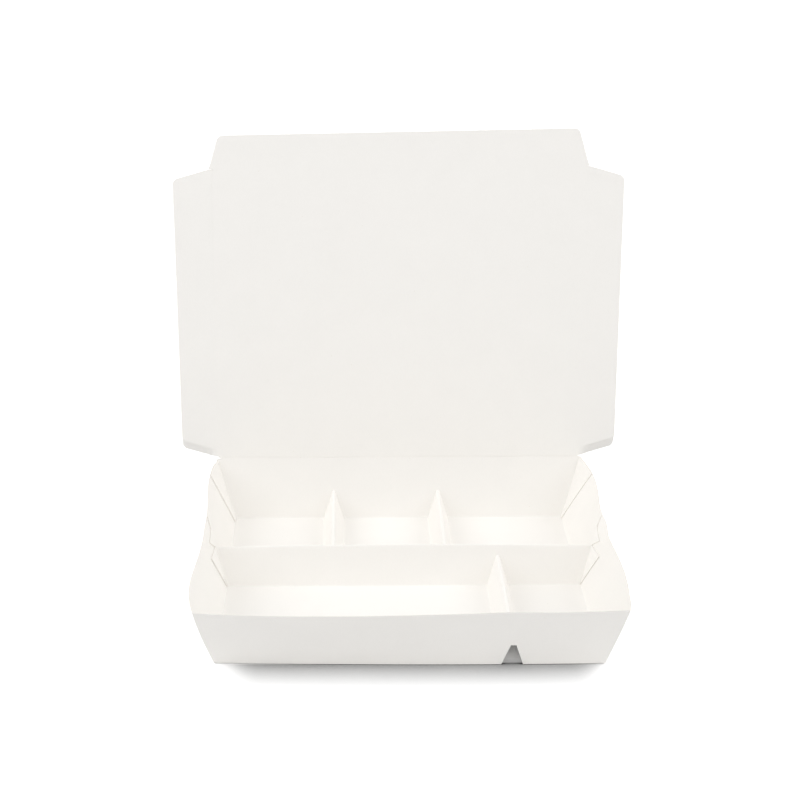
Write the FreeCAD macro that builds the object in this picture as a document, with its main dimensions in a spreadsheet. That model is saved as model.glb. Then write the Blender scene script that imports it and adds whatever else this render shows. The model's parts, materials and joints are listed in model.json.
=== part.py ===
import FreeCAD, Part
import os
import Sketcher

# A takeout food box folded from one sheet of paperboard. The tray has a long ridge across it
# and three short tents, which make five compartments, and its lid stands open on the rear rim.
# X runs to the right, Y to the back and Z up. The origin is on the base, midway across, where the
# front tray's floor folds up into the long ridge.

SIZES = (
    ("board", 0.45, "thickness of the paperboard"),
    ("floor_width", 217, "tray floor, left to right"),
    ("front_tray_depth", 81.4, "floor of the front tray, front to back"),
    ("rear_tray_depth", 73.6, "floor of the rear tray, front to back"),
    ("wall_height", 40, "rim above the base"),
    ("side_lean", 11.5, "how far the rim stands out past the floor at each side"),
    ("front_lean", 10.7, "the same at the front"),
    ("back_lean", 10.7, "the same at the back"),
    ("side_bow_front", 3.9, "bulge of a side rim along the front tray"),
    ("side_bow_rear", 4.2, "bulge of a side rim along the rear tray"),
    ("front_bow_wide", 3.8, "bulge of the front rim along the wide compartment"),
    ("front_bow_narrow", 1.2, "bulge of the front rim along the narrow compartment"),
    ("front_kink", 1.3, "how far the rim stands out where those two bulges meet"),
    ("ridge_width", 13.4, "long ridge at its foot"),
    ("ridge_height", 24.6, "crest of the long ridge above the base"),
    ("tent_width", 13.4, "a short tent at its foot"),
    ("tent_height", 18.5, "crest of a short tent above the base"),
    ("crest_depth", 2.9, "how far down from a crest the two folded layers touch"),
    ("rear_left_tent", 43, "left of the middle, in the rear tray"),
    ("rear_right_tent", 26, "right of the middle, in the rear tray"),
    ("front_tent", 57.6, "right of the middle, in the front tray"),
    ("ridge_pleat_reach", 18, "pleat at a ridge end, forward from the crest"),
    ("ridge_pleat_height", 26.9, "front tip of that pleat above the base"),
    ("corner_pleat_reach", 26, "pleat in a rear corner, along the rim"),
    ("overlap_tip_reach", 8.5, "tip of the side overlap, forward from the crest"),
    ("overlap_tip_height", 32.2, "that tip above the base"),
    ("overlap_heel_reach", 6.1, "heel of the side overlap, behind the crest"),
    ("overlap_heel_height", 33.8, "that heel above the base"),
    ("overlap_rim_reach", 10.2, "end of the side overlap at the rim, behind the crest"),
    ("lid_lean", 11.4, "the open lid leans this many degrees back from upright"),
    ("lid_clearance", 0.35, "gap between the rim and the closed lid"),
    ("lid_side_gap", 1.4, "side fold of the closed lid, inside the rim"),
    ("lid_front_gap", 1.3, "front fold of the closed lid, inside the rim"),
    ("fold_gap", 0.3, "width of a fold line between two panels of the lid"),
    ("side_flap_depth", 23.5, "side flap, from its fold to its free edge"),
    ("front_flap_depth", 20.5, "front flap, from its fold to its free edge"),
    ("flap_taper", 16.5, "degrees that the ends of a flap draw in"),
    ("flap_corner", 4, "radius of a flap's free corners"),
)

UPRIGHT_ACROSS = FreeCAD.Rotation(FreeCAD.Vector(1, 0, 0), 90)
UPRIGHT_ALONG = FreeCAD.Rotation(FreeCAD.Vector(1, 1, 1), 120)

doc = FreeCAD.newDocument("FoodBox")
sheet = doc.addObject("Spreadsheet::Sheet", "Sizes")
for row, (alias, number, note) in enumerate(SIZES, start=1):
    sheet.set(f"A{row}", note)
    sheet.set(f"B{row}", str(number))
    sheet.setAlias(f"B{row}", alias)
doc.recompute()

# Lengths that follow from the sheet, as expressions
FLOOR_X = "Sizes.floor_width / 2"
FLOOR_FRONT = "Sizes.front_tray_depth"
FLOOR_BACK = "(Sizes.ridge_width + Sizes.rear_tray_depth)"
RIM_X = "(Sizes.floor_width / 2 + Sizes.side_lean)"
RIM_FRONT = "(Sizes.front_tray_depth + Sizes.front_lean)"
RIM_BACK = "(Sizes.ridge_width + Sizes.rear_tray_depth + Sizes.back_lean)"
CREST = "(Sizes.ridge_width / 2)"
WIDTH_OVER_BOWS = "Sizes.floor_width + 2 * Sizes.side_lean + 4 * Sizes.side_bow_rear"


def value(expression):
    """The number that an expression on the sheet gives."""
    return float(sheet.evalExpression(expression))


def level_board(lean, height="Sizes.wall_height"):
    """One board's thickness, measured level through a wall that leans."""
    return f"Sizes.board * sqrt(1 + ({lean} / {height})^2)"


def bow_radius(chord, bow):
    """Radius of the arc that rises by bow over a chord."""
    return f"(({chord})^2 / 4 + ({bow})^2) / (2 * ({bow}))"


def draw(sketch, corners, bows=None):
    """Closed outline through corners, each edge straight or, with a bow, an arc that bulges out."""
    bows = bows or {}
    points = [FreeCAD.Vector(value(x), value(y), 0) for x, y in corners]
    for i, start in enumerate(points):
        end = points[(i + 1) % len(points)]
        if i in bows:
            outward = FreeCAD.Vector(end.y - start.y, start.x - end.x, 0).normalize()
            middle = (start + end) / 2 + outward * value(bows[i])
            sketch.addGeometry(Part.Arc(start, middle, end))
        else:
            sketch.addGeometry(Part.LineSegment(start, end))
    for i, (x, y) in enumerate(corners):
        following = (i + 1) % len(corners)
        sketch.addConstraint(Sketcher.Constraint("Coincident", i, 2, following, 1))
        for kind, place, number in (("DistanceX", x, points[i].x), ("DistanceY", y, points[i].y)):
            index = sketch.addConstraint(Sketcher.Constraint(kind, -1, 1, i, 1, number))
            sketch.renameConstraint(index, f"corner_{i}_{kind[-1].lower()}")
            sketch.setExpression(f"Constraints.corner_{i}_{kind[-1].lower()}", place)
    for i, bow in bows.items():
        (x0, y0), (x1, y1) = corners[i], corners[(i + 1) % len(corners)]
        chord = f"sqrt(({x1} - ({x0}))^2 + ({y1} - ({y0}))^2)"
        radius = bow_radius(chord, bow)
        index = sketch.addConstraint(Sketcher.Constraint("Radius", i, value(radius)))
        sketch.renameConstraint(index, f"bow_{i}")
        sketch.setExpression(f"Constraints.bow_{i}", radius)


def walls_loft(name, side_boards, end_boards):
    """The tray's space, drawn in from its outside by so many boards at the sides and the ends."""
    side_inset = f"{side_boards} * {level_board('Sizes.side_lean')}"
    front_inset = f"{end_boards} * {level_board('Sizes.front_lean')}"
    back_inset = f"{end_boards} * {level_board('Sizes.back_lean')}"
    levels = (
        ("foot", FLOOR_X, FLOOR_FRONT, FLOOR_BACK, "0", "0"),
        ("rim", RIM_X, RIM_FRONT, RIM_BACK, "Sizes.front_kink", "Sizes.wall_height"),
    )
    sections = []
    for level, half_x, front, back, kink, height in levels:
        right = f"({half_x} - {side_inset})"
        front_y = f"-({front} - {front_inset})"
        back_y = f"({back} - {back_inset})"
        corners = (
            (f"-{right}", front_y),
            ("Sizes.front_tent", f"{front_y} - {kink}"),
            (right, front_y),
            (right, CREST),
            (right, back_y),
            (f"-{right}", back_y),
            (f"-{right}", CREST),
        )
        bows = {
            0: "Sizes.front_bow_wide",
            1: "Sizes.front_bow_narrow",
            2: "Sizes.side_bow_front",
            3: "Sizes.side_bow_rear",
            5: "Sizes.side_bow_rear",
            6: "Sizes.side_bow_front",
        }
        section = doc.addObject("Sketcher::SketchObject", f"{name}_{level}")
        draw(section, corners, bows if level == "rim" else None)
        section.setExpression("Placement.Base.z", height)
        sections.append(section)
    loft = doc.addObject("Part::Loft", name)
    loft.Sections = sections
    loft.Solid = True
    loft.Ruled = True
    return loft


def prism(name, corners, upright, length, symmetric=False, backwards=False):
    """An upright outline drawn out along its normal."""
    outline = doc.addObject("Sketcher::SketchObject", f"{name}_outline")
    outline.Placement = FreeCAD.Placement(FreeCAD.Vector(0, 0, 0), upright)
    draw(outline, corners)
    drawn = doc.addObject("Part::Extrusion", name)
    drawn.Base = outline
    drawn.DirMode = "Normal"
    drawn.Solid = True
    drawn.Symmetric = symmetric
    drawn.Reversed = backwards
    drawn.setExpression("LengthFwd", length)
    return drawn


def fold_sections(centre, width, height):
    """Outer outline of a folded ridge, and the outline of the hollow under it."""
    half = f"{width} / 2"
    level = level_board(half, height)
    hollow_top = f"({height} - Sizes.crest_depth)"
    hollow_half = f"({half} - ({half} - Sizes.board) * {hollow_top} / {height} - {level})"
    outside = (
        (f"{centre} - {half}", "0"),
        (f"{centre} + {half}", "0"),
        (f"{centre} + Sizes.board", height),
        (f"{centre} - Sizes.board", height),
    )
    hollow = (
        (f"{centre} - ({half} - {level})", "0"),
        (f"{centre} + ({half} - {level})", "0"),
        (f"{centre} + {hollow_half}", hollow_top),
        (f"{centre} - {hollow_half}", hollow_top),
    )
    return outside, hollow


def combine(kind, name, shapes):
    """A fuse or a common of several shapes."""
    result = doc.addObject(kind, name)
    result.Shapes = shapes
    return result


def cut(name, base, tool):
    """What is left of base without tool."""
    result = doc.addObject("Part::Cut", name)
    result.Base = base
    result.Tool = tool
    return result


def folded_ridges(outside_name, hollow_name):
    """The long ridge and the three tents as filled prisms, and the hollows under them."""
    outside, hollow = fold_sections(CREST, "Sizes.ridge_width", "Sizes.ridge_height")
    filled = [prism("ridge", outside, UPRIGHT_ALONG, WIDTH_OVER_BOWS, symmetric=True)]
    hollows = [prism("ridge_hollow", hollow, UPRIGHT_ALONG, WIDTH_OVER_BOWS, symmetric=True)]
    past_front = f"2 * {RIM_FRONT}"
    past_back = f"2 * {RIM_BACK}"
    tents = (
        ("rear_left", "-Sizes.rear_left_tent", past_back, True),
        ("rear_right", "Sizes.rear_right_tent", past_back, True),
        ("front", "Sizes.front_tent", past_front, False),
    )
    for side, centre, length, backwards in tents:
        outside, hollow = fold_sections(centre, "Sizes.tent_width", "Sizes.tent_height")
        for outline, group, name in (
            (outside, filled, f"{side}_tent"),
            (hollow, hollows, f"{side}_tent_hollow"),
        ):
            tent = prism(name, outline, UPRIGHT_ACROSS, length, backwards=backwards)
            tent.Base.setExpression("Placement.Base.y", CREST)
            group.append(tent)
    return (
        combine("Part::MultiFuse", outside_name, filled),
        combine("Part::MultiFuse", hollow_name, hollows),
    )


def side_layers(cavity):
    """Pleats and overlaps that lie one board thick on the inside of both side walls."""
    within = walls_loft("lining_space", 2, 0)
    lining = cut("side_lining", cavity, within)
    crest = (CREST, "Sizes.ridge_height")
    ridge_pleat = (
        crest,
        (f"{CREST} - Sizes.ridge_pleat_reach", "Sizes.ridge_pleat_height"),
        ("0", "0"),
    )
    corner_pleat = (
        (RIM_BACK, "Sizes.wall_height"),
        (f"{RIM_BACK} - Sizes.corner_pleat_reach", "Sizes.wall_height"),
        (FLOOR_BACK, "0"),
    )
    overlap = (
        crest,
        ("Sizes.ridge_width", "0"),
        (f"{CREST} + Sizes.overlap_rim_reach", "Sizes.wall_height"),
        (f"{CREST} + Sizes.overlap_heel_reach", "Sizes.overlap_heel_height"),
        (f"{CREST} - Sizes.overlap_tip_reach", "Sizes.overlap_tip_height"),
    )
    outlines = {"ridge_pleat": ridge_pleat, "corner_pleat": corner_pleat, "side_overlap": overlap}
    layers = []
    for name, corners in outlines.items():
        through = prism(f"{name}_space", corners, UPRIGHT_ALONG, WIDTH_OVER_BOWS, symmetric=True)
        layers.append(combine("Part::MultiCommon", f"{name}s", [lining, through]))
    return layers


def make_tray():
    """The whole tray as one folded sheet, open under its ridge and tents."""
    outside = walls_loft("tray_outside", 0, 0)
    cavity = walls_loft("tray_space", 1, 1)
    walls = cut("walls", outside, cavity)
    base = doc.addObject("Part::Box", "base_board")
    base.setExpression("Length", WIDTH_OVER_BOWS)
    base.setExpression("Width", f"2 * ({RIM_FRONT} + {RIM_BACK})")
    base.setExpression("Height", "Sizes.board")
    base.setExpression("Placement.Base.x", f"-({WIDTH_OVER_BOWS}) / 2")
    base.setExpression("Placement.Base.y", f"-2 * {RIM_FRONT}")
    floor = combine("Part::MultiCommon", "floor", [outside, base])
    filled, hollows = folded_ridges("ridges", "hollows")
    inside = combine("Part::MultiCommon", "ridges_in_tray", [cavity, filled])
    folded = combine("Part::MultiFuse", "sheet_filled", [walls, floor, inside, *side_layers(cavity)])
    tray = cut("tray", folded, hollows)
    tray.Label = "tray"
    return tray


def flat_panel(label, corners, free_corners):
    """One flat panel of the lid, in the plane of the open lid, with its free corners rounded."""
    body = doc.addObject("PartDesign::Body", label)
    body.Label = label
    outline = body.newObject("Sketcher::SketchObject", f"{label}_outline")
    plane = next(f for f in body.Origin.OriginFeatures if f.Role == "XY_Plane")
    outline.AttachmentSupport = [(plane, "")]
    outline.MapMode = "FlatFace"
    draw(outline, corners)
    panel = body.newObject("PartDesign::Pad", f"{label}_board")
    panel.Profile = outline
    panel.SideType = "Symmetric"
    panel.setExpression("Length", "Sizes.board")
    doc.recompute()
    if free_corners:
        places = [FreeCAD.Vector(value(x), value(y), 0) for x, y in free_corners]
        edges = [
            f"Edge{n}"
            for n, edge in enumerate(panel.Shape.Edges, start=1)
            if any(edge.CenterOfMass.isEqual(place, value("Sizes.board") / 10) for place in places)
        ]
        rounded = body.newObject("PartDesign::Fillet", f"{label}_corners")
        rounded.Base = (panel, edges)
        rounded.setExpression("Radius", "Sizes.flap_corner")
    body.Placement = FreeCAD.Placement(FreeCAD.Vector(0, 0, 0), UPRIGHT_ACROSS)
    rim_middle = f"{RIM_BACK} - {level_board('Sizes.back_lean')} / 2"
    body.setExpression("Placement.Base.y", rim_middle)
    body.setExpression("Placement.Base.z", "Sizes.wall_height + Sizes.lid_clearance + Sizes.board / 2")
    body.setExpression("Placement.Rotation.Angle", "(90 - Sizes.lid_lean) * 1 deg")
    return body


def make_lid():
    """The lid's main panel and its three flaps, with a narrow fold between each pair."""
    half_gap = "Sizes.fold_gap / 2"
    side_fold = f"({RIM_X} - Sizes.lid_side_gap)"
    front_fold = f"({RIM_BACK} + {RIM_FRONT} - {level_board('Sizes.back_lean')} - Sizes.lid_front_gap)"
    panel_side = f"({side_fold} - {half_gap})"
    panel_front = f"({front_fold} - {half_gap})"
    panel = (
        (f"-{panel_side}", half_gap),
        (panel_side, half_gap),
        (panel_side, panel_front),
        (f"-{panel_side}", panel_front),
    )
    pieces = [flat_panel("lid_panel", panel, ())]

    draw_in = "tan(Sizes.flap_taper * 1 deg)"
    flap_root = f"({side_fold} + {half_gap})"
    flap_edge = f"({side_fold} + Sizes.side_flap_depth)"
    end_step = f"Sizes.side_flap_depth * {draw_in}"
    for label, sign in (("lid_left_flap", "-"), ("lid_right_flap", "")):
        free = (
            (f"{sign}{flap_edge}", f"{half_gap} + {end_step}"),
            (f"{sign}{flap_edge}", f"{panel_front} - {end_step}"),
        )
        flap = ((f"{sign}{flap_root}", half_gap), *free, (f"{sign}{flap_root}", panel_front))
        pieces.append(flat_panel(label, flap, free))

    tuck_edge = f"({front_fold} + Sizes.front_flap_depth)"
    tuck_half = f"({panel_side} - Sizes.front_flap_depth * {draw_in})"
    free = ((tuck_half, tuck_edge), (f"-{tuck_half}", tuck_edge))
    root_y = f"({front_fold} + {half_gap})"
    tuck = ((f"-{panel_side}", root_y), (panel_side, root_y), *free)
    pieces.append(flat_panel("lid_front_flap", tuck, free))
    return pieces


subparts = [make_tray(), *make_lid()]
doc.recompute()

for feature in doc.Objects:
    if "Invalid" in feature.State or "Error" in feature.State:
        raise RuntimeError(f"{feature.Label} did not compute")
for subpart in subparts:
    if subpart.Shape.isNull() or not subpart.Shape.isValid():
        raise RuntimeError(f"{subpart.Label} has no valid shape")
    if len(subpart.Shape.Solids) != 1:
        raise RuntimeError(f"{subpart.Label} is not one solid")

os.makedirs("parts", exist_ok=True)
for subpart in subparts:
    subpart.Shape.exportStep(f"parts/{subpart.Label}.step")
    print(subpart.Label, round(subpart.Shape.Volume, 1), subpart.Shape.BoundBox)
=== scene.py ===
import json
import math

import bpy
import numpy as np
from mathutils import Matrix, Vector


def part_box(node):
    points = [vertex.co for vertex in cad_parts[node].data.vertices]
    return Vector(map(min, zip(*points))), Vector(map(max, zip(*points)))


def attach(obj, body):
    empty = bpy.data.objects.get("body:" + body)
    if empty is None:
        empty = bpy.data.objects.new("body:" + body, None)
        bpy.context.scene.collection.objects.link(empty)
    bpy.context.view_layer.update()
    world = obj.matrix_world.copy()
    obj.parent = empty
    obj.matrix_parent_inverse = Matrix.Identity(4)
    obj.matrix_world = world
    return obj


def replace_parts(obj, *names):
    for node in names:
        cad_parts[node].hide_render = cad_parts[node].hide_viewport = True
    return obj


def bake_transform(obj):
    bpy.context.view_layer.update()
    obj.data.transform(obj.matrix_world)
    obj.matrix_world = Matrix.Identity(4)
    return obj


# A takeout food box folded from one sheet of white paperboard, open, on a pale floor. The tray is
# one thin sheet that goes over its long ridge and its three short tents; pleats lie on its side
# walls. The lid is a panel with three flaps. All lengths below are millimetres, in the part's frame.

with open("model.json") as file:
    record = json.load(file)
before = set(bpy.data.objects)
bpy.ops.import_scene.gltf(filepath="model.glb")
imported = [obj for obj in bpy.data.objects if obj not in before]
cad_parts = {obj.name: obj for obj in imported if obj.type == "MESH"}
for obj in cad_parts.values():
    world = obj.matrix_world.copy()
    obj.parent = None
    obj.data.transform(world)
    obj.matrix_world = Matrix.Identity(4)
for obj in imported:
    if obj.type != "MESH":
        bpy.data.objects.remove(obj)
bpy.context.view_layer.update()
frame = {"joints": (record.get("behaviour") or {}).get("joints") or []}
MM = 0.001


def in_mm(vector):
    """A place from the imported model, which is in metres, in millimetres."""
    return Vector(vector) / MM


TRAY_HIGH = in_mm(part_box("tray")[1])
JOINTS = {joint["name"]: joint for joint in frame["joints"]}

# The tray: its board, its floor up to the folds, how far each wall leans out, and its ridges
BOARD = 0.45
RIM_HEIGHT = TRAY_HIGH.z
FLOOR_X = 108.5
SIDE_LEAN = 11.5
FLOOR_FRONT = 81.4
FRONT_LEAN = 10.7
BACK_LEAN = 10.7
FLOOR_BACK = TRAY_HIGH.y - BACK_LEAN
FOLD_RADIUS = 0.7
RIDGE_WIDTH = 13.4
RIDGE_HEIGHT = 24.6
TENT_HEIGHT = 18.5
CREST_Y = RIDGE_WIDTH / 2
REAR_TENTS = (-43.0, 26.0)
FRONT_TENT = 57.3
# The radius of a ridge's rounded crest, by the ridge's height
CREST_RADII = {RIDGE_HEIGHT: 0.6, TENT_HEIGHT: 1.3}
# Where the sheet has its lines: in degrees round a fold and round a crest, at heights on the walls
# and ridges, and about how far apart on the floor
FOLD_TURNS = (20, 38, 56, 74)
CREST_TURNS = (0, 25, 50, 75)
LINE_HEIGHTS = (2.2, 4.5, 7.5, 10.5, 13.5, 16.0, 20.5, 22.5, 27.5, 30.5, 33.5, 36.5, 38.8)
FLOOR_STEP = 4.5
# The board that closes the top of an opening: at a tent's end, from one height to another, and at an
# end of the long ridge, as corners along Y and up. It lies a little behind the wall's outer face.
TENT_WEB = (15.2, 18)
RIDGE_WEB = ((-1.5, 21.5), (1.5, 21.5), (0.6, 24), (-0.6, 24))
WEB_RECESS = 0.06

# How far each wall bulges at the rim, and where along it the bulge is greatest
SIDE_BOWS = {
    (-1, "front"): (4.0, 0.70),
    (1, "front"): (3.6, 0.60),
    (-1, "rear"): (2.9, 0.66),
    (1, "rear"): (4.8, 0.60),
}
FRONT_BOW_WIDE = (4.0, 0.42)
FRONT_BOW_NARROW = (1.0, 0.45)
# How far the front rim stands out where those two bulges meet, over the front tent
FRONT_KINK = 1.3
# How far the long ridge's ends push the side rims out, over what length, and how near the rim
RIM_PUSHES = {-1: 0.6, 1: 2.8}
PUSH_LENGTH = 13
PUSH_POWER = 8
# The fold at the front wall's foot: its bulge, its place ahead of straight at the left end, how much
# further ahead its right end lies, and how far the floor's sides spread towards it
FOOT_BOW = (1.2, 0.56)
FOOT_AHEAD = 0.5
FOOT_TURN = 2.6
FOOT_FLARES = {-1: 1.4, 1: 1.0}
# The rear left corner's rim dips, over these lengths of the back rim and of the side rim
CORNER_DIP = 3.0
CORNER_DIP_REACH = (2.5, 7)
CORNER_DIP_START = 1.2
# The long ridge rises in its middle, over these lengths across and along the box, but a band of the
# wall under the rim doesn't
RIDGE_RISE = 1.1
RIDGE_RISE_REACH = (108, 14)
RIM_BAND = 5
# How far the side walls ripple, and the front and back walls
SIDE_RIPPLE = 0.12
END_RIPPLE = 0.1

# The layers of board on the side walls. A corner is a height above the base and a place along Y.
LAYER_FOOT = BOARD + 0.3
LAYER_RIM = RIM_HEIGHT - 0.1
LAYER_GAP = 0.03
LAYER_GRID = (14, 8)
PLEAT_TIP = (26.9, CREST_Y - 18)
PLEAT_FOOT = (-0.2, 0.0)
OVERLAP_TIP = (32.2, CREST_Y - 8.5)
OVERLAP_HEEL = (33.8, CREST_Y + 6.1)
OVERLAP_FOOT = (RIDGE_WIDTH, RIDGE_WIDTH + 0.3)
OVERLAP_RIM = (CREST_Y + 10.2, CREST_Y + 10.2 + 0.4)
# The corner pleats' front edge, by its distance from the rear corner at the foot and at the rim, and
# how far their rear edge stays from that corner at the rim
CORNER_PLEAT_FEET = {-1: 5.5, 1: 3.0}
CORNER_PLEAT_RIM = 26
CORNER_PLEAT_END = 0.6
# How far each kind of layer is lifted at its front edge
PLEAT_LIFT = 0.1
OVERLAP_LIFT = 0.03
CORNER_PLEAT_LIFT = 0.08

# The lid, along its own plane from the fold
LID_FOLD = in_mm(JOINTS["lid_fold"]["pos_m"])
LID_UP = Vector(JOINTS["left_flap_fold"]["axis"]).normalized()
LID_INWARD = Vector((1, 0, 0)).cross(LID_UP)
SIDE_FOLD = in_mm(JOINTS["right_flap_fold"]["pos_m"]).x
FRONT_FOLD = (in_mm(JOINTS["front_flap_fold"]["pos_m"]) - LID_FOLD).dot(LID_UP)
CREASE_HALF = 0.5
# How much higher the lid's right side stands than its middle, and how far the panel warps
LID_SKEW = 0.9
LID_WARP = 0.5
# How many points the panel has across and up, and a fold's strip along and across it
PANEL_GRID = (61, 49)
CREASE_GRID = (60, 7)
LID_CREASE_LINES = 8

# The flaps: the front one is deeper at the right, and shoulders stand out at its fold's ends
SIDE_FLAP_DEPTH = 23.5
FRONT_FLAP_DEPTHS = (21.5, 23.8)
SHOULDERS = {-1: 2.3, 1: 1.2}
FILLET = 0.7
FILLET_DEPTH = 2.5
SIDE_FLARES = {-1: 1.7, 1: 0.2}
FLAP_TAPER = math.radians(16.5)
FLAP_CORNER = 4.0
# A side flap's lower and upper ends at its fold, its lines near the lower end by their distance from
# it, and how many more there are up to the other end
FLAP_LOW = CREASE_HALF / 3
FLAP_HIGH = FRONT_FOLD + CREASE_HALF * 0.8
NEAR_LINES = (0.0, 0.9, 1.9, 2.9, 3.8, 4.3, 4.7, 5.1, 5.6, 6.2, 8.0)
FAR_LINES = 33
# How many lines a flap has from its fold to where its corners start, and how many round them
FLAP_LINES = (10, 9)
# The narrow strip bent back at a side flap's lower end: its width, how much wider it is once bent,
# its angle, the width over which it bends, how far from the fold it starts, and how soon it is full
BENT_END = 5.6
BENT_EXTRAS = {-1: 1.8, 1: 2.2}
BENT_ANGLES = {-1: math.radians(24), 1: math.radians(31)}
BENT_RUNS = {-1: 3.5, 1: 1.4}
BENT_START = 1.5
BENT_FADE = 4.5

# Board that turns by more than this between two faces has a sharp edge there
SHARP_ANGLE = math.radians(32)


def bump(share, peak):
    """A smooth hump that is 0 at both ends and 1 at peak."""
    share = min(max(share, 0.0), 1.0)
    return math.sin(math.pi * share ** (math.log(0.5) / math.log(peak)))


def side_bow(side, y):
    """How far a side rim stands out past its straight line at y."""
    if y < CREST_Y:
        amount, peak = SIDE_BOWS[side, "front"]
        return amount * bump((CREST_Y - y) / (CREST_Y + FLOOR_FRONT + FRONT_LEAN), peak)
    amount, peak = SIDE_BOWS[side, "rear"]
    return amount * bump((y - CREST_Y) / (FLOOR_BACK + BACK_LEAN - CREST_Y), peak)


def front_bow(x):
    """How far the front rim stands out past its straight line at x."""
    rim_x = FLOOR_X + SIDE_LEAN
    if x < FRONT_TENT:
        share = min(max((x + rim_x) / (FRONT_TENT + rim_x), 0.0), 1.0)
        amount, peak = FRONT_BOW_WIDE
        return amount * bump(share, peak) + FRONT_KINK * share
    share = min(max((x - FRONT_TENT) / (rim_x - FRONT_TENT), 0.0), 1.0)
    amount, peak = FRONT_BOW_NARROW
    return amount * bump(share, peak) + FRONT_KINK * (1 - share)


def ripple(a, b, size):
    """A small, slow unevenness, the same at each run."""
    return size * (
        math.sin(a / 17.0 + 0.7) * math.cos(b / 23.0 + 1.9)
        + 0.6 * math.sin(a / 9.0 + b / 13.0 + 2.3)
    )


def fold_run(rise, slope):
    """How far out a face is at a rise above the floor it is folded from, with a rounded fold."""
    turn = math.pi / 2 - math.atan(slope)
    if rise < FOLD_RADIUS * (1 - math.cos(turn)):
        back = FOLD_RADIUS * math.tan(turn / 2)
        return math.sqrt(FOLD_RADIUS**2 - (FOLD_RADIUS - rise) ** 2) - back
    return rise * slope


def wall_run(height, foot, lean):
    """Distance of a wall's inner face from the middle of the floor, at a height above the base."""
    slope = lean / RIM_HEIGHT
    sharp = foot + slope * BOARD - BOARD * math.hypot(1, slope)
    return sharp + fold_run(height - BOARD, slope)


def ridge_half(height, top):
    """Half the thickness of a folded ridge at a height above the base."""
    half = RIDGE_WIDTH / 2
    round_crest = CREST_RADII[top]
    centre = top - round_crest
    slope_angle = math.acos(round_crest / math.hypot(half, centre)) - math.atan2(centre, half)
    if height > centre + round_crest * math.sin(slope_angle):
        return math.sqrt(max(round_crest**2 - (height - centre) ** 2, 0.0))
    slope = math.tan(slope_angle)
    return half - slope * BOARD - fold_run(height - BOARD, slope)


def common_levels():
    """Heights that every wall and ridge has a line at, so that they meet along clean seams."""
    levels = {BOARD, RIM_HEIGHT}
    levels.update(BOARD + FOLD_RADIUS * (1 - math.cos(math.radians(a))) for a in FOLD_TURNS)
    for top, round_crest in CREST_RADII.items():
        levels.update(top - round_crest * (1 - math.cos(math.radians(a))) for a in CREST_TURNS)
    levels.update(LINE_HEIGHTS)
    return sorted(levels)


LEVELS = common_levels()


def floor_steps(start, end):
    """Evenly spaced places between two folds, without the ends."""
    count = max(2, round((end - start) / FLOOR_STEP))
    return [start + (end - start) * k / count for k in range(1, count)]


def ridge_lines(centre, top):
    """Lines up one face of a ridge and down the other, as places and heights."""
    up = [level for level in LEVELS if level <= top]
    lines = [(centre - ridge_half(level, top), level) for level in up]
    return lines + [(centre + ridge_half(level, top), level) for level in reversed(up[:-1])]


def grid_lines(low_wall, high_wall, ridges):
    """Lines across the tray: down one wall, over the floor and its ridges, and up the other.

    Each line is a place, a height, which wall it is on (-1, 0 or 1) and which ridge, if any."""
    lines = [(-wall_run(level, *low_wall), level, -1, None) for level in reversed(LEVELS)]
    for name, centre, top in ridges:
        ridge = [(place, level, 0, name) for place, level in ridge_lines(centre, top)]
        lines += [(p, BOARD, 0, None) for p in floor_steps(lines[-1][0], ridge[0][0])] + ridge
    wall = [(wall_run(level, *high_wall), level, 1, None) for level in LEVELS]
    return lines + [(p, BOARD, 0, None) for p in floor_steps(lines[-1][0], wall[0][0])] + wall


def across(x, side, height, y):
    """An X line's place where it passes y, with the side wall's bulges if it is on one."""
    if not side:
        return x
    lift = height / RIM_HEIGHT
    spread = FOOT_FLARES[side] * max(0.0, (CREST_Y - y) / (CREST_Y + FLOOR_FRONT)) * (1 - lift)
    push = RIM_PUSHES[side] * math.exp(-(((y - CREST_Y) / PUSH_LENGTH) ** 2)) * lift**PUSH_POWER
    return x + side * (side_bow(side, y) * lift + spread + push)


def along(y, side, height, x):
    """A Y line's place where it passes x, with the front wall's bulges if it is on that."""
    if side >= 0:
        return y
    lift = height / RIM_HEIGHT
    share = min(max((x + FLOOR_X) / (2 * FLOOR_X), 0.0), 1.0)
    amount, peak = FOOT_BOW
    foot = amount * bump(share, peak) + FOOT_AHEAD + FOOT_TURN * share
    return y - front_bow(x) * lift - foot * (1 - lift)


def soften(point):
    """Folded board's unevenness: walls ripple, the long ridge rises and one corner dips."""
    x, y, z = point
    lift = z / RIM_HEIGHT
    rise_across, rise_along = RIDGE_RISE_REACH
    rise = RIDGE_RISE * math.exp(-(((y - CREST_Y) / rise_along) ** 2)) * (z / RIDGE_HEIGHT) ** 2
    rise *= max(0.0, 1 - (x / rise_across) ** 2) * (z < RIM_HEIGHT - RIM_BAND)
    ahead = TRAY_HIGH.y - y
    dip_across, dip_along = CORNER_DIP_REACH
    away = max(0.0, (x + FLOOR_X + SIDE_LEAN) / dip_across) ** 2 + (ahead / dip_along) ** 2
    dip = CORNER_DIP * math.exp(-away) * min(ahead / CORNER_DIP_START, 1.0)
    dip *= max(0.0, lift - 0.5) * 2
    x_ripple, y_ripple = ripple(y, z, SIDE_RIPPLE), ripple(x, y, END_RIPPLE)
    return (x + x_ripple * lift, y + y_ripple * lift, z + rise - dip)


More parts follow.
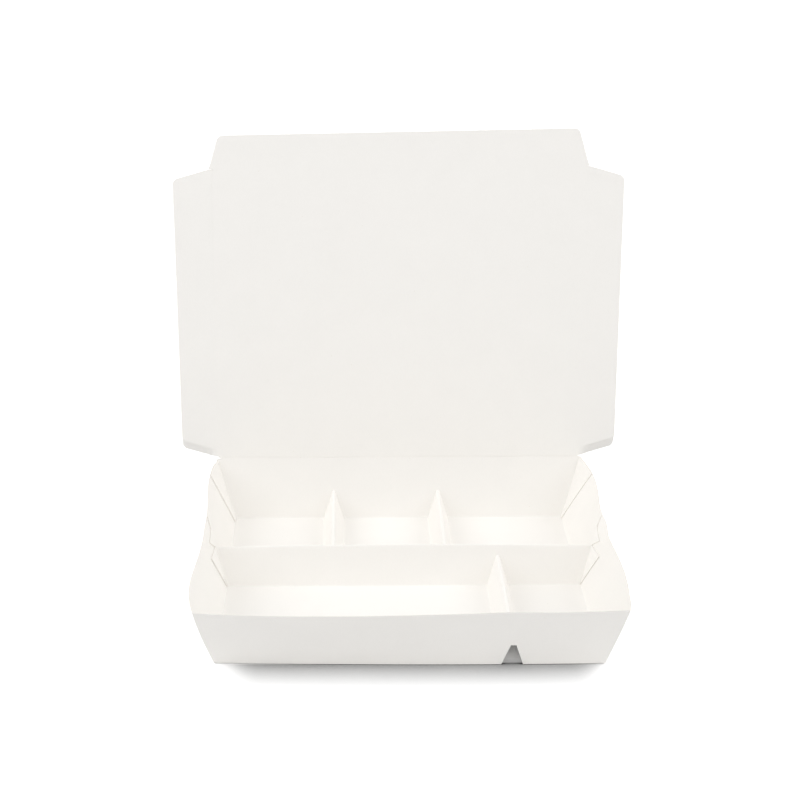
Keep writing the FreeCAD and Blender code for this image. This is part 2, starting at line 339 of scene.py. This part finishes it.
def mesh_piece(name, points, faces, materials, body, thickness=BOARD, blend_to=None):
    """A piece of board: an open sheet of faces whose upper side is given, made as thick as asked."""
    mesh = bpy.data.meshes.new(name)
    mesh.from_pydata([Vector(point) * MM for point in points], [], faces)
    for material in materials:
        mesh.materials.append(material)
    piece = bpy.data.objects.new(name, mesh)
    bpy.context.scene.collection.objects.link(piece)
    solidify = piece.modifiers.new("board", "SOLIDIFY")
    solidify.thickness = thickness * MM
    solidify.offset = -1
    solidify.use_even_offset = True
    solidify.material_offset_rim = 1
    evaluated = piece.evaluated_get(bpy.context.evaluated_depsgraph_get())
    thick = bpy.data.meshes.new_from_object(evaluated)
    piece.modifiers.clear()
    piece.data = thick
    thick.name = name
    thick.polygons.foreach_set("use_smooth", [True] * len(thick.polygons))
    thick.set_sharp_from_angle(angle=SHARP_ANGLE)
    if blend_to is None:
        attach(piece, body)
    else:
        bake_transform(piece)
    return piece


def grid_faces(rows, columns, flip=False):
    """Quads of a grid of points that is stored row by row."""
    faces = []
    for r in range(rows - 1):
        for c in range(columns - 1):
            a = r * columns + c
            quad = (a, a + 1, a + columns + 1, a + columns)
            faces.append(quad[::-1] if flip else quad)
    return faces


def build_tray(materials):
    """The tray's sheet: at each crossing of lines, the higher of the two lines shapes the board."""
    side_wall = (FLOOR_X, SIDE_LEAN)
    tents = sorted([(centre, "rear") for centre in REAR_TENTS] + [(FRONT_TENT, "front")])
    x_lines = grid_lines(side_wall, side_wall, [(tray, x, TENT_HEIGHT) for x, tray in tents])
    front_wall, back_wall = (FLOOR_FRONT, FRONT_LEAN), (FLOOR_BACK, BACK_LEAN)
    y_lines = grid_lines(front_wall, back_wall, [("ridge", CREST_Y, RIDGE_HEIGHT)])

    def x_level(line, y):
        """The height of an X line; a tent stands in one of the trays only."""
        _, level, _, tray = line
        inside = tray is None or tray == ("front" if y < CREST_Y else "rear")
        return level if inside else BOARD

    points = []
    for y, y_height, y_side, _ in y_lines:
        for line in x_lines:
            x, x_height, x_side, _ = line
            height = max(x_level(line, y), y_height)
            place = (across(x, x_side, x_height, y), along(y, y_side, y_height, x), height)
            points.append(soften(place))

    faces = []
    columns = len(x_lines)
    for j in range(len(y_lines) - 1):
        y_low, y_high = y_lines[j][1], y_lines[j + 1][1]
        middle = (y_lines[j][0] + y_lines[j + 1][0]) / 2
        for i in range(columns - 1):
            x_low, x_high = x_level(x_lines[i], middle), x_level(x_lines[i + 1], middle)
            a = j * columns + i
            b, c, d = a + 1, a + columns + 1, a + columns
            if y_low != y_high and (x_low, x_high) == (y_low, y_high):
                faces += [(a, b, c), (a, c, d)]
            elif y_low != y_high and (x_low, x_high) == (y_high, y_low):
                faces += [(a, b, d), (b, c, d)]
            else:
                faces.append((a, b, c, d))
    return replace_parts(mesh_piece("tray_sheet", points, faces, materials, "tray"), "tray")


def wall_point(side, y, z, off):
    """A point on a side wall's inner face, so far off it."""
    x = across(side * wall_run(z, FLOOR_X, SIDE_LEAN), side, z, y)
    x, y, z = soften((x, y, z))
    return (x - side * off, y, z)


def between(pairs, z):
    """Straight lines through pairs of height and place."""
    heights, places = zip(*pairs)
    return float(np.interp(z, heights, places))


def side_layer(name, side, front_edge, rear_edge, lift, materials):
    """A layer of board on a side wall, between two edges of corners; its front edge is lifted."""
    low = max(front_edge[0][0], rear_edge[0][0])
    high = min(front_edge[-1][0], rear_edge[-1][0])
    rows, columns = LAYER_GRID
    heights = {low, high}
    heights.update(h for h, _ in (*front_edge, *rear_edge) if low < h < high)
    heights.update(low + (high - low) * k / rows for k in range(rows + 1))
    points = []
    for z in sorted(heights):
        front, rear = between(front_edge, z), between(rear_edge, z)
        for share in (k / columns for k in range(columns + 1)):
            off = BOARD + LAYER_GAP + lift * (1 - share) ** 2
            points.append(wall_point(side, front + (rear - front) * share, z, off))
    faces = grid_faces(len(heights), columns + 1, flip=side > 0)
    return mesh_piece(name, points, faces, materials, "tray")


def build_side_layers(materials):
    """The pleats at the ridge's ends and in the rear corners, and the layer that overlaps them."""
    foot, rim = LAYER_FOOT, LAYER_RIM
    crest = (RIDGE_HEIGHT, CREST_Y)
    for side, word in ((-1, "left"), (1, "right")):
        front = ((foot, PLEAT_FOOT[0]), PLEAT_TIP)
        rear = ((foot, PLEAT_FOOT[1]), crest, PLEAT_TIP)
        side_layer(f"ridge_pleat_{word}", side, front, rear, PLEAT_LIFT, materials)
        front = (
            (foot, OVERLAP_FOOT[0]), crest, OVERLAP_TIP, OVERLAP_HEEL, (rim, OVERLAP_RIM[0])
        )
        rear = ((foot, OVERLAP_FOOT[1]), (rim, OVERLAP_RIM[1]))
        side_layer(f"side_overlap_{word}", side, front, rear, OVERLAP_LIFT, materials)
        corner = FLOOR_BACK + BACK_LEAN
        front = ((foot, FLOOR_BACK - CORNER_PLEAT_FEET[side]), (rim, corner - CORNER_PLEAT_RIM))
        rear = ((foot, FLOOR_BACK), (rim, corner - CORNER_PLEAT_END))
        side_layer(f"corner_pleat_{word}", side, front, rear, CORNER_PLEAT_LIFT, materials)


def lid_point(x, up, inward):
    """A point of the open lid: across, up from the fold and in front of the board's middle."""
    skew = LID_SKEW * x / SIDE_FOLD * min(up / FRONT_FOLD, 1.0)
    return LID_FOLD + Vector((x, 0, 0)) + LID_UP * (up + skew) + LID_INWARD * inward


def lid_wave(x, up):
    """How far the lid stands out of flat: a slow warp that fades at its folds."""
    edge = max(0.0, 1 - (x / SIDE_FOLD) ** 2) * math.sin(math.pi * min(max(up / FRONT_FOLD, 0), 1))
    return LID_WARP * edge * (1 + 0.5 * math.sin(x / 37.0)) if edge > 0 else 0.0


def build_lid_panel(materials):
    """The lid's main panel."""
    half = SIDE_FOLD - CREASE_HALF
    across_steps = np.linspace(-half, half, PANEL_GRID[0])
    up_steps = np.linspace(CREASE_HALF, FRONT_FOLD - CREASE_HALF, PANEL_GRID[1])
    points = [lid_point(x, up, BOARD / 2 + lid_wave(x, up)) for up in up_steps for x in across_steps]
    faces = grid_faces(len(up_steps), len(across_steps))
    piece = mesh_piece("lid_sheet", points, faces, materials, "lid")
    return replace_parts(piece, "lid_panel")


def flap_end(depth, total):
    """How far a flap's end has drawn in at a depth from its fold, with its free corner rounded."""
    taper = math.tan(FLAP_TAPER)
    centre = total - FLAP_CORNER
    centre_in = centre * taper + FLAP_CORNER / math.cos(FLAP_TAPER)
    if depth <= centre + FLAP_CORNER * math.sin(FLAP_TAPER):
        return depth * taper
    return centre_in - math.sqrt(max(FLAP_CORNER**2 - (depth - centre) ** 2, 0.0))


def fillet(distance):
    """How far a rounded inner corner fills in, at a distance along either edge."""
    return FILLET * max(0.0, 1 - max(distance, 0.0) / FILLET_DEPTH) ** 2


def flap_depths(total):
    """Lines across a flap from its fold to its free edge, closer together round its corners."""
    straight = total - FLAP_CORNER * (1 - math.sin(FLAP_TAPER))
    steps = list(np.linspace(CREASE_HALF, straight, FLAP_LINES[0]))
    angles = np.linspace(FLAP_TAPER, math.pi / 2, FLAP_LINES[1])[1:]
    return steps + [total - FLAP_CORNER * (1 - math.sin(a)) for a in angles]


def bent_back(distance, depth, side):
    """Where a bent end lies, as distance along the flat and depth behind it."""
    past = BENT_END - distance
    if past <= 0:
        return distance, 0.0
    share = min(max(depth - BENT_START, 0.0) / BENT_FADE, 1.0)
    bend = share * share * (3 - 2 * share)
    past += BENT_EXTRAS[side] * bend * past / BENT_END
    angle = BENT_ANGLES[side] * bend * min(past / BENT_RUNS[side], 1.0)
    return BENT_END - past * math.cos(angle), past * math.sin(angle)


def build_side_flap(side, word, materials):
    """A side flap, with the narrow strip at its lower end bent back."""
    columns = []
    for depth in flap_depths(SIDE_FLAP_DEPTH):
        low = FLAP_LOW + flap_end(depth, SIDE_FLAP_DEPTH)
        past_shoulder = max(0.0, depth - SHOULDERS[side])
        high = FLAP_HIGH - flap_end(past_shoulder, SIDE_FLAP_DEPTH - SHOULDERS[side])
        bends = [bent_back(step, depth, side) for step in NEAR_LINES]
        places = [(low + distance, behind) for distance, behind in bends]
        start = low + NEAR_LINES[-1]
        shares = np.linspace(0, 1, FAR_LINES + 1)[1:]
        places += [(start + (high - start) * share, 0.0) for share in shares]
        column = []
        for up, behind in places:
            flare = SIDE_FLARES[side] * depth / SIDE_FLAP_DEPTH * up / FRONT_FOLD
            column.append(lid_point(side * (SIDE_FOLD + depth + flare), up, BOARD / 2 - behind))
        columns.append(column)
    points = [point for row in zip(*columns) for point in row]
    faces = grid_faces(len(columns[0]), len(columns), flip=side < 0)
    piece = mesh_piece(f"side_flap_{word}", points, faces, materials, f"{word}_flap")
    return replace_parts(piece, f"lid_{word}_flap")


def build_front_flap(materials):
    """The flap past the lid's front fold."""
    left_depths, right_depths = (flap_depths(total) for total in FRONT_FLAP_DEPTHS)
    points = []
    for depths in zip(left_depths, right_depths):
        ends = []
        for side, depth, total in zip((-1, 1), depths, FRONT_FLAP_DEPTHS):
            half = SIDE_FOLD + SHOULDERS[side] - flap_end(depth, total) + fillet(depth)
            ends.append(Vector(lid_point(side * half, FRONT_FOLD + depth, BOARD / 2)))
        points += [ends[0].lerp(ends[1], share) for share in np.linspace(0, 1, PANEL_GRID[0])]
    faces = grid_faces(len(left_depths), PANEL_GRID[0])
    piece = mesh_piece("front_flap", points, faces, materials, "front_flap")
    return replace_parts(piece, "lid_front_flap")


def build_creases(materials):
    """The folds of the lid, as narrow strips between the panels they join."""
    length, width = CREASE_GRID
    steps = np.linspace(-CREASE_HALF, CREASE_HALF, width)
    ups = np.linspace(FLAP_LOW, FLAP_HIGH, length)
    for side, word in ((-1, "left"), (1, "right")):
        points = [lid_point(side * (SIDE_FOLD + step), up, BOARD / 2) for up in ups for step in steps]
        ends = [lid_point(side * (SIDE_FOLD + step), 0, 0) for step in (-CREASE_HALF, CREASE_HALF)]
        faces = grid_faces(length, width, flip=side < 0)
        mesh_piece(
            f"side_crease_{word}", points, faces, materials, "lid",
            blend_to=(f"{word}_flap", *ends),
        )
    half = SIDE_FOLD - FLAP_LOW
    xs = np.linspace(-half, half, length)
    points = [lid_point(x, FRONT_FOLD + step, BOARD / 2) for step in steps for x in xs]
    ends = [lid_point(0, FRONT_FOLD + step, 0) for step in (-CREASE_HALF, CREASE_HALF)]
    faces = grid_faces(width, length)
    mesh_piece("front_crease", points, faces, materials, "lid", blend_to=("front_flap", *ends))

    rim_inner = Vector((0, wall_run(RIM_HEIGHT, FLOOR_BACK, BACK_LEAN), RIM_HEIGHT))
    lid_start = lid_point(0, CREASE_HALF, BOARD / 2)
    points = []
    for share in np.linspace(0, 1, LID_CREASE_LINES):
        place = rim_inner.lerp(lid_start, share)
        points += [place + Vector((x, 0, 0)) for x in xs]
    faces = grid_faces(LID_CREASE_LINES, length)
    mesh_piece(
        "lid_crease", points, faces, materials, "tray", blend_to=("lid", rim_inner, lid_start),
    )


def build_notch_tops(materials):
    """Where a wall passes over the end of a ridge, it closes the top of the opening there."""
    webs = []
    foot_z, top_z = TENT_WEB
    for centre in (*REAR_TENTS, FRONT_TENT):
        front = centre == FRONT_TENT
        foot, lean, sign = (FLOOR_FRONT, FRONT_LEAN, -1) if front else (FLOOR_BACK, BACK_LEAN, 1)
        low, high = (ridge_half(z, TENT_HEIGHT) - 0.2 for z in TENT_WEB)
        corners = []
        for x, z in ((-low, foot_z), (low, foot_z), (high, top_z), (-high, top_z)):
            out = foot + lean * z / RIM_HEIGHT - BOARD - WEB_RECESS
            corners.append((centre + x, along(sign * out, sign, z, centre + x), z))
        webs.append(corners[::-1] if front else corners)
    for side in (-1, 1):
        corners = []
        for y, z in RIDGE_WEB:
            out = FLOOR_X + SIDE_LEAN * z / RIM_HEIGHT - BOARD - WEB_RECESS
            corners.append((side * out, CREST_Y + y, z))
        webs.append(corners[::-1] if side > 0 else corners)
    points = [corner for web in webs for corner in web]
    faces = [tuple(range(first, first + 4)) for first in range(0, len(points), 4)]
    thickness = BOARD - WEB_RECESS
    return mesh_piece("notch_tops", points, faces, materials, "tray", thickness=thickness)


def node_maker(tree):
    """A function that adds a node to a tree, with its settings, and links or sets its inputs."""

    def node(kind, inputs=None, **settings):
        made = tree.nodes.new(kind)
        for key, setting in settings.items():
            setattr(made, key, setting)
        for key, feed in (inputs or {}).items():
            if isinstance(feed, bpy.types.NodeSocket):
                tree.links.new(feed, made.inputs[key])
            else:
                made.inputs[key].default_value = feed
        return made

    return node


def new_material(name):
    """An empty node material, and the function that adds its nodes."""
    material = bpy.data.materials.new(name)
    material.use_nodes = True
    material.node_tree.nodes.clear()
    return material, node_maker(material.node_tree)


def ramp(made, stops):
    """Sets a colour ramp's stops, as places and grey levels or colours."""
    elements = made.color_ramp.elements
    while len(elements) > 1:
        elements.remove(elements[-1])
    for n, (place, colour) in enumerate(stops):
        colour = colour if isinstance(colour, tuple) else (colour,) * 3
        element = elements[0] if n == 0 else elements.new(place)
        element.position = place
        element.color = (*colour, 1)
    return made


def paperboard():
    """White coated board: slow mottling, fine fibres that run one way, and a few pale flecks."""
    material, node = new_material("white_board")
    place = node("ShaderNodeTexCoord").outputs["Object"]
    mottle = node("ShaderNodeTexNoise", {"Vector": place, "Scale": 60.0, "Detail": 3.0})
    stretched = node("ShaderNodeMapping", {"Vector": place, "Scale": (1.0, 0.22, 0.22)})
    fibre = node(
        "ShaderNodeTexNoise", {"Vector": stretched.outputs[0], "Scale": 2600.0, "Detail": 5.0}
    )
    peel = node("ShaderNodeTexNoise", {"Vector": place, "Scale": 420.0, "Detail": 2.0})
    tone = ramp(
        node("ShaderNodeValToRGB", {"Fac": mottle.outputs["Fac"]}),
        ((0.3, (0.937, 0.919, 0.888)), (0.7, (0.945, 0.927, 0.896))),
    )
    grain = ramp(
        node("ShaderNodeValToRGB", {"Fac": fibre.outputs["Fac"]}), ((0.3, 0.982), (0.62, 1.0))
    )
    cells = node("ShaderNodeTexVoronoi", {"Vector": place, "Scale": 95.0, "Randomness": 1.0})
    flecks = ramp(
        node("ShaderNodeValToRGB", {"Fac": cells.outputs["Distance"]}),
        ((0.0, (0.86, 0.83, 0.78)), (0.035, (1.0, 1.0, 1.0))),
    )
    colour = tone.outputs["Color"]
    for layer in (grain, flecks):
        darkened = node(
            "ShaderNodeMix",
            {"Factor": 1.0, "A": colour, "B": layer.outputs["Color"]},
            data_type="RGBA",
            blend_type="MULTIPLY",
        )
        colour = darkened.outputs["Result"]
    rough = node(
        "ShaderNodeMapRange", {"Value": fibre.outputs["Fac"], "To Min": 0.62, "To Max": 0.8}
    )
    fine = node(
        "ShaderNodeBump", {"Height": fibre.outputs["Fac"], "Strength": 0.35, "Distance": 0.00004}
    )
    bumps = node(
        "ShaderNodeBump",
        {"Height": peel.outputs["Fac"], "Strength": 0.3, "Distance": 0.00006,
         "Normal": fine.outputs[0]},
    )
    board = node(
        "ShaderNodeBsdfPrincipled",
        {
            "Base Color": colour,
            "Roughness": rough.outputs[0],
            "Normal": bumps.outputs[0],
            "Specular IOR Level": 0.35,
        },
    )
    node("ShaderNodeOutputMaterial", {"Surface": board.outputs[0]})
    return material


def cut_edge():
    """The cut edge of the board, where its warmer core shows as fine layers."""
    material, node = new_material("board_edge")
    place = node("ShaderNodeTexCoord").outputs["Object"]
    layers = node("ShaderNodeTexNoise", {"Vector": place, "Scale": 5200.0, "Detail": 3.0})
    tone = ramp(
        node("ShaderNodeValToRGB", {"Fac": layers.outputs["Fac"]}),
        ((0.35, (0.80, 0.77, 0.71)), (0.65, (0.93, 0.91, 0.87))),
    )
    bumps = node(
        "ShaderNodeBump", {"Height": layers.outputs["Fac"], "Strength": 0.5, "Distance": 0.00005}
    )
    edge = node(
        "ShaderNodeBsdfPrincipled",
        {"Base Color": tone.outputs["Color"], "Roughness": 0.9, "Normal": bumps.outputs[0]},
    )
    node("ShaderNodeOutputMaterial", {"Surface": edge.outputs[0]})
    return material


# The camera, fitted to the photograph's folds and corners
CAMERA_PLACE = (-39.67, -795.80, 484.32)
CAMERA_LENS = 68.04
CAMERA_PITCH = math.radians(24.62)
CAMERA_YAW = math.radians(0.77)
CAMERA_ROLL = math.radians(0.07)
CAMERA_SHIFT = (0.0541, 0.0112)


def build_camera():
    """The camera, looking down on the open box from in front."""
    forward = Vector((
        math.sin(CAMERA_YAW) * math.cos(CAMERA_PITCH),
        math.cos(CAMERA_YAW) * math.cos(CAMERA_PITCH),
        -math.sin(CAMERA_PITCH),
    ))
    right = Vector((math.cos(CAMERA_YAW), -math.sin(CAMERA_YAW), 0))
    up = right.cross(forward)
    turn = Matrix.Rotation(-CAMERA_ROLL, 3, forward)
    right, up = turn @ right, turn @ up
    camera = bpy.data.objects.new("camera", bpy.data.cameras.new("camera"))
    bpy.context.scene.collection.objects.link(camera)
    camera.data.lens = CAMERA_LENS
    camera.data.shift_x, camera.data.shift_y = CAMERA_SHIFT
    camera.data.clip_start, camera.data.clip_end = 0.01, 50
    axes = Matrix((right, up, -forward)).transposed().to_4x4()
    camera.matrix_world = Matrix.Translation(Vector(CAMERA_PLACE) * MM) @ axes
    bpy.context.scene.camera = camera


def seen_directly(node):
    """1 where a surface is seen by the camera, in a reflection or through glass, and 0 elsewhere."""
    path = node("ShaderNodeLightPath")
    glossy = node(
        "ShaderNodeMath",
        {0: path.outputs["Is Camera Ray"], 1: path.outputs["Is Glossy Ray"]},
        operation="MAXIMUM",
    )
    either = node(
        "ShaderNodeMath",
        {0: glossy.outputs[0], 1: path.outputs["Is Transmission Ray"]},
        operation="MAXIMUM",
    )
    return either.outputs[0]


# Places on the floor are in metres, as its material has them.
# The floor as it lights the box is plain, with painted light in a band just ahead of the front wall:
# paler there, it throws more light onto the front wall's lower part
FLOOR_COLOUR = 0.82
FOOT_BAND_PAINTED_LIGHT = 1.0
FOOT_BAND = (-0.115, -0.086)
# The floor as it is seen is white, with painted shade along the front wall's foot, taken from ambient
# occlusion: the darkest tone is in the contact and the palest away from it
FLOOR_SEEN = 1.4
CONTACT_TONES = (0.08, 1.28)
CONTACT_REACH = 0.038
CONTACT_OPENNESS = (0.3, 0.97)
# The shade's curve is raised to the first power left of two places and to the second right of them
CONTACT_POWERS = (0.46, 0.57)
CONTACT_TURN = (-0.03, 0.05)
# It fades out between these distances from its middle, and stops just behind the foot
CONTACT_MIDDLE = 0.003
CONTACT_ENDS = (0.087, 0.124)
UNDER_BOX_FRONT = (-0.0832, -0.0822)
UNDER_BOX_BACK = (0.085, 0.095)
# Painted light under the box: where a notch shows the floor, its tone rises inwards against the shade
# in the hollow, so that it looks even
HOLLOW_PAINTED_LIGHT = (0.75, 2.2)
HOLLOW_DEPTHS = (-0.082, -0.062)
FLOOR_HALF = 6.0
FLOOR_DROP = 0.00005

# How strongly the surroundings light the box
WORLD_LIGHT = 0.715
# Each soft lamp's place in metres and its power
LAMPS = {
    "left_softbox": ((-1.2, -0.1, 1.1), 7.1),
    "right_softbox": ((1.2, -0.1, 1.1), 5.6),
    "front_softbox": ((0, -1.3, 1.1), 2.2),
}
LAMP_AIM = (0, 0, 0.05)
LAMP_SIZE = 1.0


def floor_material():
    """Pale matt floor that shows white, with painted shade where the box touches it."""
    material, node = new_material("pale_floor")

    def scaled(feed, span, to=(0.0, 1.0), **settings):
        """A number taken from one span to another."""
        ends = {"From Min": span[0], "From Max": span[1], "To Min": to[0], "To Max": to[1]}
        return node("ShaderNodeMapRange", {"Value": feed, **ends}, **settings).outputs[0]

    def maths(operation, *feeds):
        """One or two numbers put through a sum."""
        return node("ShaderNodeMath", dict(enumerate(feeds)), operation=operation).outputs[0]

    def mixed(factor, a, b):
        """The number a where the factor is 0, and b where it is 1."""
        return node("ShaderNodeMix", {"Factor": factor, "A": a, "B": b}).outputs[0]

    place = node("ShaderNodeSeparateXYZ", {0: node("ShaderNodeTexCoord").outputs["Object"]})
    x, y = place.outputs["X"], place.outputs["Y"]
    # Painted shade: the floor's seen colour darkens where ambient occlusion finds the box close by
    contact = node("ShaderNodeAmbientOcclusion", {"Distance": CONTACT_REACH}, samples=16)
    openness = scaled(contact.outputs["AO"], CONTACT_OPENNESS)
    soft = maths("POWER", openness, scaled(x, CONTACT_TURN, CONTACT_POWERS))
    shade = scaled(soft, (0.0, 1.0), CONTACT_TONES)

    under_box = scaled(y, UNDER_BOX_FRONT)
    # Painted light: the floor seen through the front notch grows paler inwards, against the shade in
    # the hollow
    near_box = mixed(under_box, shade, scaled(y, HOLLOW_DEPTHS, HOLLOW_PAINTED_LIGHT))
    sideways = maths("ABSOLUTE", maths("SUBTRACT", x, CONTACT_MIDDLE))
    past_ends = scaled(sideways, CONTACT_ENDS, interpolation_type="SMOOTHSTEP")
    clear = maths("MAXIMUM", past_ends, scaled(y, UNDER_BOX_BACK))
    seen = mixed(clear, near_box, FLOOR_SEEN)

    # Painted light: the band ahead of the front wall is paler only for light that bounces onto the
    # box
    at_foot = maths("SUBTRACT", scaled(y, FOOT_BAND), under_box)
    lit = scaled(at_foot, (0.0, 1.0), (FLOOR_COLOUR, FOOT_BAND_PAINTED_LIGHT))
    colour = node(
        "ShaderNodeMix",
        {"Factor": seen_directly(node), "A": lit, "B": seen},
        data_type="RGBA",
        clamp_result=False,
    )
    matt = node("ShaderNodeBsdfDiffuse", {"Color": colour.outputs["Result"], "Roughness": 1.0})
    node("ShaderNodeOutputMaterial", {"Surface": matt.outputs[0]})
    return material


def build_floor():
    """A plain flat floor, a hair below the box."""
    mesh = bpy.data.meshes.new("floor")
    half = FLOOR_HALF
    corners = [(-half, -half, 0), (half, -half, 0), (half, half, 0), (-half, half, 0)]
    mesh.from_pydata(corners, [], [(0, 1, 2, 3)])
    mesh.materials.append(floor_material())
    floor = bpy.data.objects.new("floor", mesh)
    floor.location.z = -FLOOR_DROP
    bpy.context.scene.collection.objects.link(floor)


def build_world():
    """Even light from all round, and plain white behind the object."""
    world = bpy.data.worlds.new("studio")
    bpy.context.scene.world = world
    world.use_nodes = True
    world.node_tree.nodes.clear()
    node = node_maker(world.node_tree)
    strength = node("ShaderNodeMapRange", {"Value": seen_directly(node), "To Min": WORLD_LIGHT})
    light = node("ShaderNodeBackground", {"Color": (1, 1, 1, 1), "Strength": strength.outputs[0]})
    node("ShaderNodeOutputWorld", {"Surface": light.outputs[0]})


def build_lamp(name, place, power):
    """A square soft lamp that faces the box and isn't seen itself."""
    lamp = bpy.data.lights.new(name, "AREA")
    lamp.shape = "SQUARE"
    lamp.size = LAMP_SIZE
    lamp.energy = power
    made = bpy.data.objects.new(name, lamp)
    bpy.context.scene.collection.objects.link(made)
    made.location = place
    made.visible_camera = False
    made.rotation_mode = "QUATERNION"
    made.rotation_quaternion = (Vector(LAMP_AIM) - Vector(place)).to_track_quat("-Z", "Y")


build_camera()
board_materials = (paperboard(), cut_edge())
build_tray(board_materials)
build_side_layers(board_materials)
build_notch_tops(board_materials)
build_lid_panel(board_materials)
build_side_flap(-1, "left", board_materials)
build_side_flap(1, "right", board_materials)
build_front_flap(board_materials)
build_creases(board_materials)

build_world()
build_floor()
for lamp_name, (lamp_place, lamp_power) in LAMPS.items():
    build_lamp(lamp_name, lamp_place, lamp_power)
bpy.context.scene.view_settings.view_transform = "Standard"
